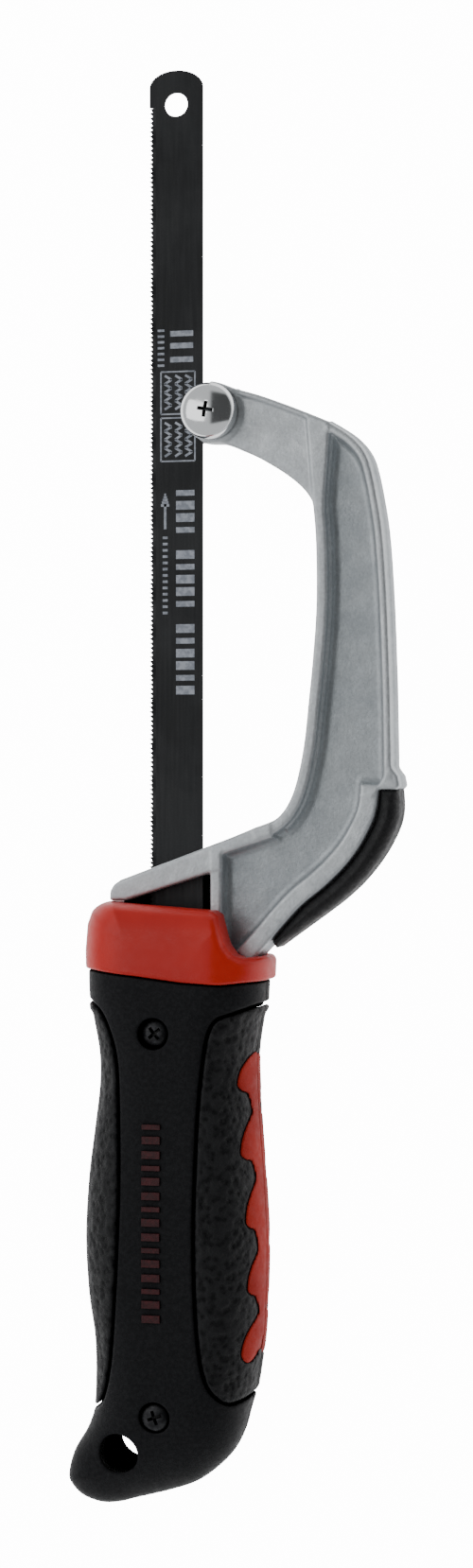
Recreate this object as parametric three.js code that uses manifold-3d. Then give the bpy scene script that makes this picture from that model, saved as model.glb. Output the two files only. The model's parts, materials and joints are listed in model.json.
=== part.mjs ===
// Mini hacksaw: a cast C-frame with a two-shell handle, lying on its side.
// Millimetres. X points from the teeth to the spine, Y along the blade to its tip, Z up.
// The origin is on the resting face, under the blade's centreline, at the middle of the collar.
import * as THREE from "three";
import { mergeVertices } from "three/addons/utils/BufferGeometryUtils.js";
import { LoftGeometry } from "three/addons/geometries/LoftGeometry.js";
import Module from "manifold-3d";

const wasm = await Module();
wasm.setup();

// ---------- driving dimensions ----------
const MID = 15.4; // height of the mid-plane, where the handle's shells and the blade meet
const GAP = 0.3; // clearance between pieces that touch on the real saw
const FAR = 60; // half size of a cutting block that has to pass everything

const BLADE_WIDTH = 12.7;
const BLADE_THICK = 0.64;
const BLADE_TIP = 202.3; // Y of the rounded tip
const HOLE_TO_HOLE = 250; // a ten-inch blade
const HOLE_FROM_END = 7.9;
const BLADE_HOLE_R = 2.75;

const RIM_HALF = 5.5; // half depth of the frame's rims
const WEB_HALF = 1.6; // half thickness of the web between the rims
const SEAT = 0.6; // height above the mid-plane of the faces that the blade lies against
const ARM_TOP = 4.7; // height above the mid-plane of the arm's front face
const BOSS_TOP = 5.2;
const BOSS = { x: 9.6, y: 122.3, r: 6.7 };

const CLAMP = { shank: 2.5, hole: 2.65, headR: 6.4, headSide: 3, headTall: 6, pitch: 0.8 };
const SCREWS = { x: -1.8, upperY: -19.5, lowerY: -106.8 };
const SCREW = { shank: 1.6, hole: 1.75, headR: 3.0, headTall: 2, bore: 3.6, seat: 10.9 };
const HANG_HOLE = { x: -11.0, y: -116.0, r: 4.6 };

const GRIP_DEEP = 2.6; // thickness of the rubber over the shells
const INLAY_DEEP = 1.4;
const WALL = 2.5; // wall of the moulded shells
const GROOVE = 0.7; // width of the groove round each grip
const FLAT = 0.4; // how far the flat front and rear cut into the crowned section
const CROWN = 2.6; // exponent of the handle's superellipse section

// ---------- outlines, in plan ----------
// handle sections: [Y, finger side, palm side, half depth before the flat]
const HANDLE = [
  [9, -19.9, 21.6, 15.4],
  [-8.5, -19.9, 21.5, 15.4],
  [-16.5, -18.6, 20.1, 15.1],
  [-24.4, -17.2, 19.0, 14.9],
  [-32, -17.1, 19.1, 14.8],
  [-43, -18.4, 19.7, 15.0],
  [-53.6, -19.7, 20.5, 15.3],
  [-67, -20.4, 21.2, 15.5],
  [-80, -19.7, 21.0, 15.3],
  [-90.7, -18.2, 20.4, 15.0],
  [-101.3, -18.1, 18.9, 14.5],
  [-107, -18.7, 17.4, 13.8],
  [-112, -20.6, 16.0, 12.6],
  [-117.4, -23.8, 12.9, 11.0],
  [-122.8, -25.3, 6.6, 9.3],
  [-125.5, -24.6, 0.2, 7.9],
  [-128, -21.8, -8.5, 5.6],
  [-129.6, -18.0, -13.0, 3.0],
];

const COLLAR = [
  [10.6, -16.8, 21.0, 14.2],
  [8, -19.1, 22.2, 15.5],
  [5, -20.2, 22.8, 15.8],
  [-1, -20.7, 23.1, 15.8],
  [-6, -20.6, 22.9, 15.8],
  [-9.5, -20.1, 22.5, 15.5],
];

// the collar's top edge, from the finger side over the notch to the low lip
const COLLAR_TOP = [[-FAR, 10.4], [-14, 10.1], [11.3, 8.4], [12.8, 7.4], [13.6, 4.2], [14.6, 0.8],
  [16.3, -1.5], [18.3, -2.3], [21.8, -1.9], [FAR, -1]];
const COLLAR_BOTTOM = [[-FAR, -5.0], [-16.7, -5.3], [-5.8, -6.4], [4.9, -7.7], [13.6, -8.2], [18.8, -7.7],
  [FAR, -6.4]];
// the handle's neck inside the collar stays this far under the collar's top
const NECK_TOP = [[-FAR, 6.2], [9.2, 6.2], [11, 0.8], [14, -5], [FAR, -5]];

const FINGER_EDGE = [[-FAR, -11.4], [-18.6, -12.6], [-15.4, -14.4], [-13.0, -18.3], [-11.0, -24.9],
  [-10.3, -34.8], [-9.8, -51], [-10.1, -66.5], [-11.1, -82], [-12.6, -95.8], [-14.8, -103.6],
  [-17.6, -106.6], [-FAR, -108.4]];
const PALM_EDGE = [[FAR, -11.6], [20.6, -13.2], [15.7, -15.0], [12.7, -16.2], [11.0, -19.0], [9.9, -24.3],
  [8.7, -36], [8.0, -53.8], [7.8, -65.7], [8.0, -79], [8.7, -90], [9.8, -97], [11.6, -101],
  [14.7, -103.6], [18.4, -102.8], [FAR, -101]];

// the red inlay's inner edge hangs in drips: the belly of each, and the black lump under it
const DRIPS = [
  { belly: [16.7, -30.6], lump: [19.0, -37.0] },
  { belly: [17.5, -46.2], lump: [19.9, -52.3] },
  { belly: [18.8, -61.6], lump: [20.4, -68.1] },
  { belly: [19.1, -77.4], lump: [20.3, -82.5] },
  { belly: [17.7, -92.6], lump: [19.8, -95.0] },
];
const INLAY_HEAD = [19.6, -22.0];
const INLAY_FOOT = [FAR, -95.4];

// ---------- helpers ----------
const vec = ([x, y]) => new THREE.Vector2(x, y);

// a closed three.js geometry as a solid
function solid(geometry) {
  const bare = geometry.index ? geometry.toNonIndexed() : geometry.clone();
  bare.deleteAttribute("normal");
  bare.deleteAttribute("uv");
  const merged = mergeVertices(bare, 1e-4);
  const corners = merged.index.array;
  const kept = [];
  for (let i = 0; i < corners.length; i += 3) {
    const [a, b, c] = corners.slice(i, i + 3);
    if (a !== b && b !== c && c !== a) kept.push(a, b, c);
  }
  return new wasm.Manifold(new wasm.Mesh({
    numProp: 3,
    vertProperties: new Float32Array(merged.attributes.position.array),
    triVerts: new Uint32Array(kept),
  }));
}

// a flat outline between two heights above the mid-plane
function slab(points, low, high) {
  const shape = new THREE.Shape(points.map(vec));
  const geometry = new THREE.ExtrudeGeometry(shape, { depth: high - low, bevelEnabled: false });
  return solid(geometry.translate(0, 0, MID + low));
}

function block(x0, x1, y0, y1, low, high) {
  return slab([[x0, y0], [x1, y0], [x1, y1], [x0, y1]], low, high);
}

function post(x, y, r, low, high, sides = 20) {
  const geometry = new THREE.CylinderGeometry(r, r, high - low, sides).rotateX(Math.PI / 2);
  return solid(geometry.translate(x, y, MID + (low + high) / 2));
}

// a solid of revolution about a line parallel to Z, from [radius, height above the mid-plane] points
function turned(x, y, profile, sides = 24) {
  const geometry = new THREE.LatheGeometry(profile.map(vec), sides).rotateX(Math.PI / 2);
  return solid(geometry.translate(x, y, MID));
}

function smooth(points, steps) {
  return new THREE.SplineCurve(points.map(vec)).getPoints(steps).map((p) => [p.x, p.y]);
}

// the same line moved sideways, to its right as it runs when side is positive
function beside(points, side) {
  return points.map(([x, y], i) => {
    const before = points[Math.max(i - 1, 0)];
    const after = points[Math.min(i + 1, points.length - 1)];
    const dx = after[0] - before[0];
    const dy = after[1] - before[1];
    const length = Math.hypot(dx, dy);
    return [x + (side * dy) / length, y - (side * dx) / length];
  });
}

// a band of even width along a line, on its right
function band(points, width, low, high) {
  return slab([...points, ...beside(points, width).reverse()], low, high);
}

// crowned sections with a flat front and rear, joined into one body; its two end sections have no flat,
// and an inset body leaves out the sections that are too small to hold it
function crowned(stations, inset, around = 24) {
  const kept = stations.filter(([, left, right, deep]) => right - left > 3 * inset && deep > 2 * inset);
  const sections = kept.map(([y, left, right, deep], row) => {
    const half = (right - left) / 2 - inset;
    const centre = (left + right) / 2;
    const tall = deep - inset;
    const flat = row === 0 || row === kept.length - 1 ? 0 : FLAT;
    const ring = [];
    for (let i = 0; i < around; i += 1) {
      const turn = ((i + 0.5) / around) * Math.PI * 2;
      const across = Math.sign(Math.cos(turn)) * Math.abs(Math.cos(turn)) ** (2 / CROWN);
      const rise = Math.sign(Math.sin(turn)) * Math.abs(Math.sin(turn)) ** (2 / CROWN);
      const z = Math.max(flat - tall, Math.min(tall - flat, rise * tall));
      ring.push(new THREE.Vector3(centre + half * across, y, MID + z));
    }
    return ring;
  });
  return solid(new LoftGeometry(sections, { capStart: true, capEnd: true }));
}

const frontHalf = slab([[-FAR, -200], [FAR, -200], [FAR, 250], [-FAR, 250]], GAP / 2, FAR);
const rearHalf = slab([[-FAR, -200], [FAR, -200], [FAR, 250], [-FAR, 250]], -FAR, -GAP / 2);

function under(line, drop = 0) {
  const edge = line.map(([x, y]) => [x, y - drop]);
  return slab([...edge, [FAR, -200], [-FAR, -200]], -FAR, FAR);
}

function above(line, lift = 0) {
  const edge = line.map(([x, y]) => [x, y + lift]);
  return slab([...edge, [FAR, 200], [-FAR, 200]], -FAR, FAR);
}

// a cross-shaped driver recess, sunk from a height
function crossRecess(x, y, top, reach, width, deep, turn) {
  const arm = (angle) => {
    const geometry = new THREE.BoxGeometry(reach * 2, width, deep * 2).rotateZ(angle);
    return solid(geometry.translate(x, y, MID + top));
  };
  return arm(turn).add(arm(turn + Math.PI / 2));
}

const parts = new THREE.Group();
parts.name = "mini_hacksaw";

function place(name, body, look) {
  const mesh = body.getMesh();
  const geometry = new THREE.BufferGeometry();
  geometry.setAttribute("position", new THREE.BufferAttribute(mesh.vertProperties, 3));
  geometry.setIndex(new THREE.BufferAttribute(mesh.triVerts, 1));
  geometry.computeVertexNormals();
  const part = new THREE.Mesh(geometry, new THREE.MeshStandardMaterial(look));
  part.name = name;
  parts.add(part);
}

const LOOK = {
  cast: { color: 0xa9adb0, roughness: 0.42, metalness: 0.9 },
  chrome: { color: 0xd6dadd, roughness: 0.12, metalness: 1 },
  steel: { color: 0x85888b, roughness: 0.35, metalness: 1 },
  blade: { color: 0x1b1c1e, roughness: 0.5, metalness: 0.3 },
  blackScrew: { color: 0x141415, roughness: 0.4, metalness: 0.7 },
  shell: { color: 0x19191b, roughness: 0.45, metalness: 0 },
  rubber: { color: 0x121213, roughness: 0.85, metalness: 0 },
  red: { color: 0xa8231c, roughness: 0.5, metalness: 0 },
};

// ---------- frame ----------
// the throat's edge, from the arm's root down the spine to the end of the blade strip
const THROAT = smooth([[33.3, 101], [34.0, 92], [34.1, 78], [33.3, 66], [32.3, 56], [31.2, 46], [29.3, 37],
  [26.9, 31.6], [23.6, 28.5], [19, 26.8]], 22);
const SPINE_BACK = smooth([[37, 119.3], [41.3, 116.6], [44.1, 114], [45.8, 111.4], [46.8, 108.5], [48, 103],
  [49.4, 94], [50.4, 80], [51.1, 62], [51.4, 48], [51.5, 38]], 20);
const FLANGE = smooth([[48.6, 37], [48.3, 33], [47.4, 29.4], [45.7, 25.7], [43.2, 21.6], [40, 17.7],
  [35.8, 13.7], [31.1, 9.9], [27, 5.6], [23.4, 1.4], [20.8, -1.4], [18.4, -4.0]], 22);
const ARM_BACK = smooth([[9.6, 129.2], [14.2, 127.8], [20, 126.1], [25, 124.3], [31, 121.9],
  [37, 119.3]], 8);
const ARM_UNDER = smooth([[33.3, 101], [31.6, 103.6], [29.2, 106], [25.8, 108.5], [21, 111.4], [17, 113.3],
  [12.5, 115.1], [7.6, 115.9]], 12);
const INNER_RIM = 2.6;
const OUTER_RIM = 1.9;
const FLANGE_WIDE = 4.3;
const RIB = { left: 9.3, right: 12.1 };
const STRIP = [[23.6, 28.5], [-12, 15.1], [-13.6, 14], [-14.5, 12.5], [-14.6, 10.4], [-10.7, 10.4],
  [9.3, 16.9], [12.1, 17.6], [12.1, 21], [24, 25]];
const TANG = { left: -8, right: 11.8, end: -98 };

function tang() {
  const shoulder = [[RIB.left, 5], [10.6, 3], [TANG.right, -0.8], [13.6, -3.8]];
  const outline = [[TANG.left, 5], ...shoulder, [TANG.right, -8], [TANG.right, TANG.end + 6],
    [TANG.right - 6, TANG.end], [TANG.left + 4, TANG.end], [TANG.left, TANG.end + 4]];
  return slab(outline, SEAT, RIM_HALF - 1);
}

function frame() {
  const web = [...beside(THROAT, -0.5), [RIB.left, 21.5], [RIB.left, -1], [12, -4.2],
    ...FLANGE.toReversed(), [51, 38], ...SPINE_BACK.toReversed()];
  const arm = [...ARM_BACK, ...ARM_UNDER];
  const root = [[31.6, 121.5], [33.3, 101], [36, 100], [37.3, 118.8], [36.8, 119.4]];
  const ear = [[44, 34.6], [47.8, 36.2], [51.2, 41.5], [53, 39], [53.4, 36.8], [52.6, 35.9], [48.4, 35.9],
    [47, 33.5]];
  let body = slab(web, -WEB_HALF, WEB_HALF);
  body = body.add(slab(arm, SEAT, ARM_TOP)).add(slab(root, -RIM_HALF, RIM_HALF));
  body = body.add(post(BOSS.x, BOSS.y, BOSS.r, SEAT, BOSS_TOP, 28));
  body = body.add(band(ARM_BACK, 1.2, SEAT, RIM_HALF));
  body = body.add(band(THROAT, -INNER_RIM, -RIM_HALF, RIM_HALF));
  body = body.add(band(SPINE_BACK, OUTER_RIM, -RIM_HALF, RIM_HALF));
  body = body.add(band(FLANGE, FLANGE_WIDE, -RIM_HALF, RIM_HALF));
  body = body.add(slab(ear, -RIM_HALF, RIM_HALF));
  body = body.add(slab(STRIP, SEAT, RIM_HALF));
  body = body.add(block(RIB.left, RIB.right, -1, 22, SEAT, RIM_HALF));
  body = body.add(tang());
  body = body.subtract(post(BOSS.x, BOSS.y, CLAMP.hole, -FAR, FAR));
  return body.subtract(post(SCREWS.x, SCREWS.upperY, SCREW.hole, -FAR, FAR));
}

// ---------- blade and clamp ----------
const BLADE_END = BLADE_TIP - 2 * HOLE_FROM_END - HOLE_TO_HOLE;
const BLADE_ROUND = 3.9; // how far each end rounds off
const PLATE = { back: -3.9, face: -0.65, heel: 0.3 };

function blade() {
  const steps = 8;
  const end = (middle, from) => Array.from({ length: steps + 1 }, (unused, i) => {
    const turn = from + (i / steps) * Math.PI;
    return [(BLADE_WIDTH / 2) * Math.cos(turn), middle + BLADE_ROUND * Math.sin(turn)];
  });
  const outline = [...end(BLADE_TIP - BLADE_ROUND, 0), ...end(BLADE_END + BLADE_ROUND, Math.PI)];
  const hole = (y) => post(0, y, BLADE_HOLE_R, -FAR, FAR);
  return slab(outline, -BLADE_THICK / 2, BLADE_THICK / 2)
    .subtract(hole(BLADE_TIP - HOLE_FROM_END))
    .subtract(hole(BLADE_END + HOLE_FROM_END));
}

function clampScrew() {
  const seat = BOSS_TOP + GAP;
  const tip = PLATE.back - 2.8;
  const { shank, headR, headSide, headTall } = CLAMP;
  const dome = Array.from({ length: 6 }, (unused, i) => {
    const turn = (i / 6) * (Math.PI / 2);
    return [headR * Math.cos(turn), seat + headSide + (headTall - headSide) * Math.sin(turn)];
  });
  const profile = [[0, tip], [shank - 0.6, tip], [shank, tip + 0.6], [shank, seat], [headR, seat], ...dome,
    [0, seat + headTall]];
  const recess = crossRecess(BOSS.x, BOSS.y, seat + headTall, 2.1, 0.9, 1.9, -0.17);
  return turned(BOSS.x, BOSS.y, profile).subtract(recess);
}

// the threaded plate behind the blade: its heel bears on the arm, its lip on the blade
function clampPlate() {
  const outline = [[-3, 117.2], [-1.8, 116.2], [14.6, 116.2], [16.4, 118], [16.4, 126.6], [14.6, 128.4],
    [-1.8, 128.4], [-3, 127.4]];
  const heel = block(13, 16.4, 118, 126.6, PLATE.back, PLATE.heel);
  const tapped = post(BOSS.x, BOSS.y, CLAMP.hole, -FAR, FAR);
  return slab(outline, PLATE.back, PLATE.face).add(heel).subtract(tapped);
}

// ---------- handle ----------
const CAVITY_END = -104.6;
const RIBS = [-40, -70];
const outer = crowned(HANDLE, 0).intersect(under(COLLAR_BOTTOM, GAP));
const inner = (inset) => crowned(HANDLE, inset);
const fingerZone = (grow) => slab(beside(FINGER_EDGE, -grow), -FAR, FAR);
const palmZone = (grow) => slab([...beside(PALM_EDGE, grow)].reverse(), -FAR, FAR);

function handleShells() {
  const core = inner(GRIP_DEEP + GAP);
  const neck = crowned(HANDLE, GRIP_DEEP + 2 * GAP).intersect(under(NECK_TOP));
  const zones = fingerZone(GROOVE / 2).add(palmZone(GROOVE / 2));
  const cavity = inner(GRIP_DEEP + GAP + WALL).intersect(block(-FAR, FAR, CAVITY_END, FAR, -FAR, FAR));
  let body = outer.subtract(zones.subtract(core)).add(neck).subtract(cavity);
  const inside = inner(GRIP_DEEP + WALL);
  const lowTang = RIM_HALF - 1 + GAP;
  let hold = post(SCREWS.x, SCREWS.upperY, SCREW.bore + 1.2, lowTang, FAR, 20);
  for (const y of RIBS) {
    hold = hold.add(block(-FAR, FAR, y - 1, y + 1, lowTang, FAR));
    hold = hold.add(block(-FAR, FAR, y - 1, y + 1, -FAR, -BLADE_THICK / 2 - GAP));
  }
  body = body.add(hold.intersect(inside));
  for (const y of [SCREWS.upperY, SCREWS.lowerY]) {
    body = body.subtract(post(SCREWS.x, y, SCREW.bore, SCREW.seat, FAR, 20));
    body = body.subtract(post(SCREWS.x, y, SCREW.hole, y === SCREWS.lowerY ? -9 : SEAT, FAR, 12));
  }
  return body.subtract(post(HANG_HOLE.x, HANG_HOLE.y, HANG_HOLE.r, -FAR, FAR, 24));
}

// a point part of the way from one to another, by its own share across and down
const between = (from, to, across, down) => [from[0] + across * (to[0] - from[0]),
  from[1] + down * (to[1] - from[1])];

function inlayEdge() {
  const points = [INLAY_HEAD];
  let start = INLAY_HEAD;
  for (const { belly, lump } of DRIPS) {
    points.push(between(start, belly, 0.48, 0.42), belly, between(belly, lump, 0.4, 0.33), lump);
    start = lump;
  }
  return points;
}

const inlayZone = (grow) => slab([[FAR, INLAY_FOOT[1] - grow], [FAR, INLAY_HEAD[1] + 1 + grow],
  ...beside(inlayEdge(), grow)], -FAR, FAR);

const fingerGrips = () => outer.intersect(fingerZone(-GROOVE / 2)).subtract(inner(GRIP_DEEP));

function palmGrips() {
  const bed = inlayZone(GAP).subtract(inner(INLAY_DEEP + GAP));
  return outer.intersect(palmZone(-GROOVE / 2)).subtract(inner(GRIP_DEEP)).subtract(bed);
}

const palmInlays = () => outer.intersect(inlayZone(0)).subtract(inner(INLAY_DEEP));

function handleScrew(y, tip) {
  const { shank, headR, headTall } = SCREW;
  const seat = SCREW.seat + GAP;
  const top = seat + headTall;
  const profile = [[0, tip], [shank, tip + 1.2], [shank, seat], [headR, seat], [headR, top - 0.7],
    [headR - 0.9, top], [0, top]];
  return turned(SCREWS.x, y, profile, 12)
    .subtract(crossRecess(SCREWS.x, y, top, 1.6, 0.7, 1.2, Math.PI / 5));
}

// ---------- collar, guide and thumb rest ----------
const SLOT = [[-13.5, 14], [-13.5, -10], [16.4, -10], [16.4, -6.4], [21.4, -1.6], [30, 7], [30, 14]];

function collar() {
  const body = crowned(COLLAR, 0).intersect(under(COLLAR_TOP)).intersect(above(COLLAR_BOTTOM));
  const cavity = crowned(COLLAR, GRIP_DEEP).intersect(under(NECK_TOP, -GAP));
  return body.subtract(cavity).subtract(slab(SLOT, -RIM_HALF - GAP, RIM_HALF + GAP));
}

function bladeGuide() {
  const outline = [[-13, -8], [8.9, -8], [8.9, 19.4], [-13, 12.4]];
  return slab(outline, -RIM_HALF, -BLADE_THICK / 2 - GAP);
}

function thumbRest() {
  const inside = [[48.9, 35.6], ...beside(FLANGE, -GAP).slice(2, -4)];
  const outside = smooth([[52.8, 35.6], [53.1, 31.5], [52.3, 27.6], [50, 22.8], [47.2, 18.6], [43.6, 14.4],
    [39.4, 10.6], [34.9, 7.2], [29.5, 3.3], [24.6, -0.3]], 20);
  return slab([...inside, ...outside.reverse()], -RIM_HALF - 0.5, RIM_HALF + 0.5);
}

place("frame", frame(), LOOK.cast);
place("blade", blade(), LOOK.blade);
place("clamp_screw", clampScrew(), LOOK.chrome);
place("clamp_plate", clampPlate(), LOOK.steel);
place("collar", collar(), LOOK.red);
place("blade_guide", bladeGuide(), LOOK.shell);
place("thumb_rest", thumbRest(), LOOK.rubber);
place("handle_screw_upper", handleScrew(SCREWS.upperY, SEAT + GAP), LOOK.blackScrew);
place("handle_screw_lower", handleScrew(SCREWS.lowerY, -8.5), LOOK.blackScrew);
const halves = [["front", frontHalf], ["rear", rearHalf]];
const moulded = [["handle_shell", handleShells(), LOOK.shell], ["finger_grip", fingerGrips(), LOOK.rubber],
  ["palm_grip", palmGrips(), LOOK.rubber], ["palm_inlay", palmInlays(), LOOK.red]];
for (const [name, body, look] of moulded) {
  for (const [side, half] of halves) place(`${name}_${side}`, body.intersect(half), look);
}

export default parts;
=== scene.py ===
"""Looks for the mini hacksaw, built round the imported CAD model.

Shapes are worked out in millimetres in the row's frame, with heights taken from the saw's mid-plane, and
become meshes in metres. The casting and the mouldings are signed distance fields, negative inside, which
surface() turns into closed meshes with true fillets and rounded edges.
"""
import json
import math

import bmesh
import bpy
import numpy as np
from mathutils import Matrix, Vector
from mathutils.geometry import tessellate_polygon


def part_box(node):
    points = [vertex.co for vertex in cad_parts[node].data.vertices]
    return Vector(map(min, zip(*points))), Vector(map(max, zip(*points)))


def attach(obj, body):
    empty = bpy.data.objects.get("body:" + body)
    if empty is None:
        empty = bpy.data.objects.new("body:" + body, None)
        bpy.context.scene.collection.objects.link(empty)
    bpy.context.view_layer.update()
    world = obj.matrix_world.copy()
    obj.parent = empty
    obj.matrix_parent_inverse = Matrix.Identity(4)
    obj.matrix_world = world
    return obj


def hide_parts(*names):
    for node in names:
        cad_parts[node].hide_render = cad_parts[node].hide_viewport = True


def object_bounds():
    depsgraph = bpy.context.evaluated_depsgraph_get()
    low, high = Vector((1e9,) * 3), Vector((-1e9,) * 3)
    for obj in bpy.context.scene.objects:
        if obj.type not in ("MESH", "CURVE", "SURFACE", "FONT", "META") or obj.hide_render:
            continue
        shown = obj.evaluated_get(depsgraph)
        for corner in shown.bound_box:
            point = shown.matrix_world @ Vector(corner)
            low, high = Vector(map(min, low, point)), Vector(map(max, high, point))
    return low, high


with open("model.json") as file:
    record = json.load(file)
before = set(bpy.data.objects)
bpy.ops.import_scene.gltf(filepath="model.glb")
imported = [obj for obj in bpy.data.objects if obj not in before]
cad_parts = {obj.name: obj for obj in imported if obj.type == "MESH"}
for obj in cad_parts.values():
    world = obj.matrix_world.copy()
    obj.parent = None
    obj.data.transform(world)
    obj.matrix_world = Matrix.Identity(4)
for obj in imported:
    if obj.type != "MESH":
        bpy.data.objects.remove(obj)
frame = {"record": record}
cad_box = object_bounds()

MM = 0.001
STEP = 0.3  # grid step of the fields

# ---------- places read from the CAD model ----------


def box_mm(node):
    low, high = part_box(node)
    return np.array(low) / MM, np.array(high) / MM


def middle_mm(node):
    low, high = box_mm(node)
    return (low + high) / 2


MID = middle_mm("blade")[2]  # height of the mid-plane
HANG = np.array(next(m for m in frame["record"]["mounts"] if m["name"] == "hang_hole")["pos_m"]) / MM
BOSS = middle_mm("clamp_screw")
SCREW_UPPER = middle_mm("handle_screw_upper")
SCREW_LOWER = middle_mm("handle_screw_lower")
BLADE_LOW, BLADE_HIGH = box_mm("blade")

# ---------- camera ----------
CAMERA_TURN = math.radians(13.5)  # how far the view comes round to the spine's side
CAMERA_FAR = 0.65
CAMERA_LENS = 64.8
AIM = Vector((14.3, 37.2, MID)) * MM


def add_camera():
    away = Vector((math.sin(CAMERA_TURN), 0, math.cos(CAMERA_TURN)))
    up = Vector((0, 1, 0))
    data = bpy.data.cameras.new("camera")
    data.lens = CAMERA_LENS
    data.sensor_width = 36
    data.clip_start = 0.01
    camera = bpy.data.objects.new("camera", data)
    turn = Matrix((up.cross(away), up, away)).transposed()
    camera.matrix_world = Matrix.Translation(AIM + away * CAMERA_FAR) @ turn.to_4x4()
    bpy.context.scene.collection.objects.link(camera)
    bpy.context.scene.camera = camera


add_camera()

# ---------- curves and distance fields ----------


def smooth(points, spans=6):
    """An open Catmull-Rom curve through the points."""
    pts = [np.array(p, float) for p in points]
    last = len(pts) - 1
    out = []
    for i in range(last):
        a, b, c, d = pts[max(i - 1, 0)], pts[i], pts[i + 1], pts[min(i + 2, last)]
        for k in range(spans):
            t = k / spans
            near, far = (c - a) / 2, (d - b) / 2
            cubed = 2 * b - 2 * c + near + far
            squared = 3 * c - 3 * b - 2 * near - far
            out.append(cubed * t**3 + squared * t**2 + near * t + b)
    out.append(pts[-1])
    return np.array(out)


def beside(points, side):
    """The same open line moved sideways, to its right as it runs when side is positive."""
    along = np.gradient(points, axis=0)
    along /= np.linalg.norm(along, axis=1, keepdims=True)
    return points + side * np.stack([along[:, 1], -along[:, 0]], axis=1)


def band(points, width):
    """The outline of a strip of even width along a line, on its right."""
    return np.concatenate([points, beside(points, width)[::-1]])


def outline_field(points, x, y):
    """Distance to a closed outline in plan, negative inside."""
    near = np.full(np.broadcast(x, y).shape, 1e9)
    inside = np.zeros(near.shape, bool)
    pts = np.asarray(points, float)
    for (ax, ay), (bx, by) in zip(pts, np.roll(pts, -1, axis=0)):
        ex, ey = bx - ax, by - ay
        if ex == 0 and ey == 0:
            continue
        t = np.clip(((x - ax) * ex + (y - ay) * ey) / (ex * ex + ey * ey), 0, 1)
        near = np.minimum(near, (x - ax - t * ex) ** 2 + (y - ay - t * ey) ** 2)
        if ey:
            inside ^= ((ay > y) != (by > y)) & (x < ax + (y - ay) * ex / ey)
    return np.where(inside, -1.0, 1.0) * np.sqrt(near)


def both(a, b, r=0.0):
    """Where two fields meet, with the edge rounded to a radius."""
    if not r:
        return np.maximum(a, b)
    corner = np.hypot(np.maximum(a + r, 0), np.maximum(b + r, 0)) - r
    return np.where(np.minimum(a, b) < -r, np.maximum(a, b), corner)


def either(a, b, r):
    """Two fields joined, with a fillet of a radius in the corner between them."""
    return -both(-a, -b, r)


class Grid:
    """A box of points in millimetres, x and y in plan and h above the mid-plane."""

    def __init__(self, low, high, step):
        self.low = np.array(low, float) - 2 * step
        self.step = step
        counts = [int(math.ceil((top - start) / step)) + 3 for start, top in zip(self.low, high)]
        axes = [start + step * np.arange(n) for start, n in zip(self.low, counts)]
        self.x = axes[0][:, None]
        self.y = axes[1][None, :]
        self.h = axes[2][None, None, :]

    def plan(self, points):
        """An outline's distance, ready to be used with heights."""
        return outline_field(points, self.x, self.y)[:, :, None]

    def slab(self, points, low, high, r=0.0):
        """A flat outline between two heights, with rounded edges."""
        return both(self.plan(points), np.maximum(low - self.h, self.h - high), r)

    def hole(self, centre, radius):
        """Distance to an upright round bar, negative inside it."""
        return (np.hypot(self.x - centre[0], self.y - centre[1]) - radius)[:, :, None]


def surface(field, grid):
    """The closed mesh where a field crosses zero: one corner in each crossed cell, one face at each edge."""
    shape = np.array(field.shape) - 1
    corners, places = [], []
    for axis in range(3):
        order = (axis, (axis + 1) % 3, (axis + 2) % 3)
        turned = field.transpose(order)
        first, second = turned[:-1], turned[1:]
        i, j, k = np.nonzero((first < 0) != (second < 0))
        a, b = first[i, j, k], second[i, j, k]
        place = np.empty((len(i), 3))
        place[:, order[0]] = i + a / (a - b)
        place[:, order[1]] = j
        place[:, order[2]] = k
        cells = []
        for dj, dk in ((-1, -1), (0, -1), (0, 0), (-1, 0)):
            at = np.empty((len(i), 3), np.int64)
            at[:, order[0]], at[:, order[1]], at[:, order[2]] = i, j + dj, k + dk
            cells.append((at[:, 0] * shape[1] + at[:, 1]) * shape[2] + at[:, 2])
        cells = np.stack(cells, axis=1)
        cells[a >= 0] = cells[a >= 0][:, ::-1]
        corners.append(cells)
        places.append(np.repeat(place, 4, axis=0))
    corners = np.concatenate(corners)
    places = np.concatenate(places)
    used, index = np.unique(corners.ravel(), return_inverse=True)
    share = np.bincount(index)
    points = np.stack([np.bincount(index, weights=places[:, c]) / share for c in range(3)], axis=1)
    points = grid.low + points * grid.step + (0, 0, MID)
    return points * MM, index.reshape(-1, 4)


def add_object(name, mesh, material=None):
    if material:
        mesh.materials.append(material)
    piece = bpy.data.objects.new(name, mesh)
    bpy.context.scene.collection.objects.link(piece)
    return piece


def add_mesh(name, points, faces, material):
    mesh = bpy.data.meshes.new(name)
    mesh.from_pydata(points, [], faces)
    mesh.validate()
    return add_object(name, mesh, material)


def add_bmesh(name, bm, material=None):
    mesh = bpy.data.meshes.new(name)
    bm.to_mesh(mesh)
    bm.free()
    return add_object(name, mesh, material)


def thin_out(piece, ratio):
    """Fewer faces where the surface is flat."""
    modifier = piece.modifiers.new("thin", "DECIMATE")
    modifier.ratio = ratio
    apply_modifiers(piece)


def apply_modifiers(piece):
    shown = bpy.context.evaluated_depsgraph_get()
    made = bpy.data.meshes.new_from_object(piece.evaluated_get(shown))
    old = piece.data
    piece.modifiers.clear()
    piece.data = made
    bpy.data.meshes.remove(old)


def moulded(name, field, grid, material, ratio):
    """A field's surface as a piece, thinned to a share of its faces."""
    points, faces = surface(field, grid)
    piece = add_mesh(name, points.tolist(), faces.tolist(), material)
    thin_out(piece, ratio)
    piece.data.shade_smooth()
    return piece


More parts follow.
